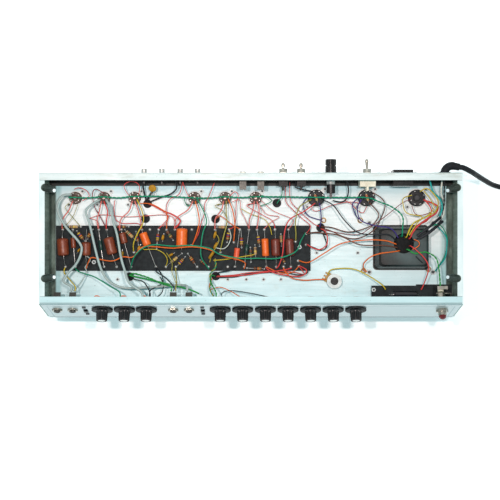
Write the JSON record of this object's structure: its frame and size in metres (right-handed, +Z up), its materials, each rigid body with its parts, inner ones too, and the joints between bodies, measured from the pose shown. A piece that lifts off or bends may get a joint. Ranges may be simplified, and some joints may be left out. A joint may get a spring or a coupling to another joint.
{
  "type": "guitar amplifier head chassis",
  "caption": "Valve guitar amplifier head out of its cabinet: open steel chassis with knobbed sloping panel, wired board, sockets, transformers and a coiled mains cord.",
  "frame": {"origin": "on the table under the middle of the chassis, midway between the knob faces and the power lever tip", "axes": "+X along the control panel to the right as seen from the front, +Y from the control panel to the rear, +Z up"},
  "size_m": [0.8692, 0.2416, 0.1515],
  "materials": {
    "zinc_steel": "plated sheet steel, lightly stained",
    "panel_metal": "brushed plate",
    "fibre_board": "waxed black fibre",
    "solder": "tinned",
    "brown_moulding": "waxed moulding",
    "orange_film": "dipped epoxy",
    "mustard_disc": "dipped ceramic",
    "dark_can": "sleeved can",
    "carbon_resistor": "moulded, banded",
    "brown_socket": "phenolic",
    "black_socket": "phenolic",
    "clear_glass": "clear",
    "dark_glass": "smoked by getter",
    "shield_metal": "drawn",
    "spring_steel": "bright",
    "core_iron": "varnished laminations",
    "black_paint": "semi-gloss",
    "pot_metal": "plated",
    "nickel": "nickel plate",
    "black_plastic": "moulded",
    "black_rubber": "matt",
    "red_jewel": "faceted, translucent",
    "green_wire": "cloth and plastic covering",
    "red_wire": "cloth and plastic covering",
    "orange_wire": "cloth and plastic covering",
    "dark_wire": "cloth and plastic covering",
    "grey_cable": "shielded cable"
  },
  "bodies": {
    "chassis": {"chassis_pan": "zinc_steel", "end_plates": "zinc_steel", "control_plate": "panel_metal", "component_boards": "fibre_board", "board_eyelets": "solder", "moulded_capacitors": "brown_moulding", "film_capacitors": "orange_film", "disc_capacitors": "mustard_disc", "electrolytic_capacitors": "dark_can", "resistors": "carbon_resistor", "noval_sockets": "brown_socket", "octal_sockets": "black_socket", "preamp_tubes": "clear_glass", "tube_shields": "shield_metal", "octal_tubes": "dark_glass", "tube_retainers": "spring_steel", "power_transformer_core": "core_iron", "power_transformer_bells": "black_paint", "output_transformer": "core_iron", "small_transformers": "core_iron", "filter_capacitor_pan": "zinc_steel", "pot_bodies": "pot_metal", "panel_nuts": "nickel", "jacks": "nickel", "phono_jacks": "nickel", "toggle_bodies": "pot_metal", "slide_switch_bodies": "pot_metal", "fuse_holder": "black_plastic", "ac_outlet": "black_plastic", "strain_relief": "black_rubber", "pilot_lamp": "nickel", "pilot_jewel": "red_jewel", "bias_pot": "pot_metal", "grommets": "black_rubber", "chassis_screws": "solder", "mains_cord_run": "black_rubber", "mains_cord_coil": "black_rubber", "mains_plug": "black_rubber", "wires_green": "green_wire", "wires_red": "red_wire", "wires_orange": "orange_wire", "wires_dark": "dark_wire", "shielded_cables": "grey_cable"},
    "knob_1": {"knob_1": "black_plastic"},
    "knob_2": {"knob_2": "black_plastic"},
    "knob_3": {"knob_3": "black_plastic"},
    "knob_4": {"knob_4": "black_plastic"},
    "knob_5": {"knob_5": "black_plastic"},
    "knob_6": {"knob_6": "black_plastic"},
    "knob_7": {"knob_7": "black_plastic"},
    "knob_8": {"knob_8": "black_plastic"},
    "knob_9": {"knob_9": "black_plastic"},
    "knob_10": {"knob_10": "black_plastic"},
    "slide_button_1": {"slide_button_1": "black_plastic"},
    "slide_button_2": {"slide_button_2": "black_plastic"},
    "toggle_lever_1": {"toggle_lever_1": "nickel"},
    "toggle_lever_2": {"toggle_lever_2": "nickel"},
    "power_lever": {"power_lever": "nickel"},
    "bias_shaft": {"bias_shaft": "black_plastic"},
    "fuse_cap": {"fuse_cap": "black_plastic"}
  },
  "joints": [
    {"name": "knob_1_turn", "type": "hinge", "parent": "chassis", "child": "knob_1", "pos_m": [-0.2175, -0.09937, 0.13172], "axis": [0, -0.9402, 0.3406], "range_deg": [-150, 150]},
    {"name": "knob_2_turn", "type": "hinge", "parent": "chassis", "child": "knob_2", "pos_m": [-0.185, -0.09937, 0.13172], "axis": [0, -0.9402, 0.3406], "range_deg": [-150, 150]},
    {"name": "knob_3_turn", "type": "hinge", "parent": "chassis", "child": "knob_3", "pos_m": [-0.153, -0.09937, 0.13172], "axis": [0, -0.9402, 0.3406], "range_deg": [-150, 150]},
    {"name": "knob_4_turn", "type": "hinge", "parent": "chassis", "child": "knob_4", "pos_m": [-0.045, -0.09937, 0.13172], "axis": [0, -0.9402, 0.3406], "range_deg": [-150, 150]},
    {"name": "knob_5_turn", "type": "hinge", "parent": "chassis", "child": "knob_5", "pos_m": [-0.0122, -0.09937, 0.13172], "axis": [0, -0.9402, 0.3406], "range_deg": [-150, 150]},
    {"name": "knob_6_turn", "type": "hinge", "parent": "chassis", "child": "knob_6", "pos_m": [0.021, -0.09937, 0.13172], "axis": [0, -0.9402, 0.3406], "range_deg": [-150, 150]},
    {"name": "knob_7_turn", "type": "hinge", "parent": "chassis", "child": "knob_7", "pos_m": [0.054, -0.09937, 0.13172], "axis": [0, -0.9402, 0.3406], "range_deg": [-150, 150]},
    {"name": "knob_8_turn", "type": "hinge", "parent": "chassis", "child": "knob_8", "pos_m": [0.087, -0.09937, 0.13172], "axis": [0, -0.9402, 0.3406], "range_deg": [-150, 150]},
    {"name": "knob_9_turn", "type": "hinge", "parent": "chassis", "child": "knob_9", "pos_m": [0.12, -0.09937, 0.13172], "axis": [0, -0.9402, 0.3406], "range_deg": [-150, 150]},
    {"name": "knob_10_turn", "type": "hinge", "parent": "chassis", "child": "knob_10", "pos_m": [0.153, -0.09937, 0.13172], "axis": [0, -0.9402, 0.3406], "range_deg": [-150, 150]},
    {"name": "slide_button_1_slide", "type": "slide", "parent": "chassis", "child": "slide_button_1", "axis": [0, 0.3406, 0.9402], "range_m": [0, 0.004]},
    {"name": "slide_button_2_slide", "type": "slide", "parent": "chassis", "child": "slide_button_2", "axis": [0, 0.3406, 0.9402], "range_m": [0, 0.004]},
    {"name": "toggle_lever_1_throw", "type": "hinge", "parent": "chassis", "child": "toggle_lever_1", "pos_m": [0.0475, 0.10179, 0.118], "axis": [1, 0, 0], "range_deg": [0, 24]},
    {"name": "toggle_lever_2_throw", "type": "hinge", "parent": "chassis", "child": "toggle_lever_2", "pos_m": [0.074, 0.10179, 0.118], "axis": [1, 0, 0], "range_deg": [0, 24]},
    {"name": "power_lever_throw", "type": "hinge", "parent": "chassis", "child": "power_lever", "pos_m": [0.1715, 0.10179, 0.118], "axis": [1, 0, 0], "range_deg": [0, 24]},
    {"name": "bias_shaft_turn", "type": "hinge", "parent": "chassis", "child": "bias_shaft", "pos_m": [0.125, -0.06071, 0.0895], "axis": [0, 0, 1], "range_deg": [-140, 140]},
    {"name": "fuse_cap_turn", "type": "hinge", "parent": "chassis", "child": "fuse_cap", "pos_m": [0.118, 0.09779, 0.118], "axis": [0, 1, 0], "range_deg": [0, 45]}
  ]
}
